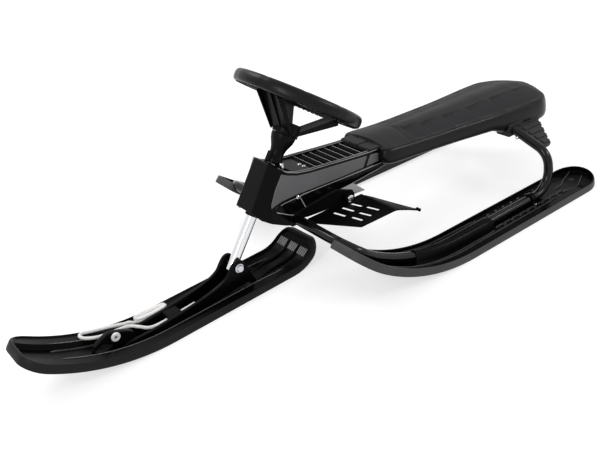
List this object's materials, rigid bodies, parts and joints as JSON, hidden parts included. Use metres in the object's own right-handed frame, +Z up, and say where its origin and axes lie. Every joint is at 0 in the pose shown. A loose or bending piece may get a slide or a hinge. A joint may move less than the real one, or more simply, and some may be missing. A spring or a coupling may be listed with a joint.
{
  "type": "ski sled",
  "caption": "Steerable ski sled: front ski on a raked stem with a steering wheel, long seat on a tube frame with two rear skis, foot brake and pull rope.",
  "frame": {"origin": "on the ground, midway between the front ski's tip and the seat's rear end, on the centre line", "axes": "+X forward, +Y to the rider's left, +Z up"},
  "size_m": [1.2339, 0.488, 0.392],
  "materials": {
    "ski_plastic": "glossy moulded plastic",
    "gloss_black": "high gloss moulded plastic",
    "matt_black": "matt moulded plastic",
    "dark_grey": "satin grey moulded plastic",
    "rim_black": "satin moulded grip",
    "seat_black": "soft pad with a fine embossed texture",
    "painted_tube": "glossy powder coat",
    "brake_steel": "satin powder coat",
    "bright_stem": "bright zinc plated",
    "steel": "zinc plated",
    "white_plastic": "white moulded plastic",
    "rope": "white braided cord"
  },
  "bodies": {
    "chassis": {"ski_left": "ski_plastic", "ski_right": "ski_plastic", "frame_tube_left": "painted_tube", "frame_tube_right": "painted_tube", "clamps_left": "matt_black", "clamps_right": "matt_black", "pod_left": "matt_black", "pod_right": "matt_black", "cowl": "gloss_black", "beam": "gloss_black", "side_panel_left": "dark_grey", "side_panel_right": "dark_grey", "grille": "matt_black", "latch_block": "matt_black", "seat_shell": "gloss_black", "seat_pad": "seat_black", "rear_bracket_left": "dark_grey", "rear_bracket_right": "dark_grey", "stem_bearing": "matt_black", "brake_hanger": "dark_grey"},
    "ski_swivel": {"front_ski": "ski_plastic", "ski_fork": "ski_plastic", "fork_bolt": "steel", "cross_block": "matt_black", "rope_cleat": "matt_black", "cleat_pin": "white_plastic", "rope": "rope", "rope_hank": "rope"},
    "steering": {"steering_stem": "bright_stem", "wheel_neck": "matt_black", "wheel_hub": "matt_black", "wheel_rim": "rim_black"},
    "brake": {"brake_plate": "brake_steel", "brake_pivot": "steel"}
  },
  "joints": [
    {"name": "steer", "type": "hinge", "parent": "chassis", "child": "steering", "pos_m": [0.212, 0, 0.054], "axis": [-0.5736, 0, 0.8192], "range_deg": [-28.5, 21.5]},
    {"name": "ski_pitch", "type": "hinge", "parent": "steering", "child": "ski_swivel", "pos_m": [0.212, 0, 0.054], "axis": [-0.05, 0.9987, 0], "range_deg": [-8, 3]},
    {"name": "brake_press", "type": "hinge", "parent": "chassis", "child": "brake", "pos_m": [-0.024, 0, 0.117], "axis": [0, -1, 0], "range_deg": [0, 40], "stiffness_Nm_per_rad": 1.2, "springref_deg": -28.65}
  ]
}
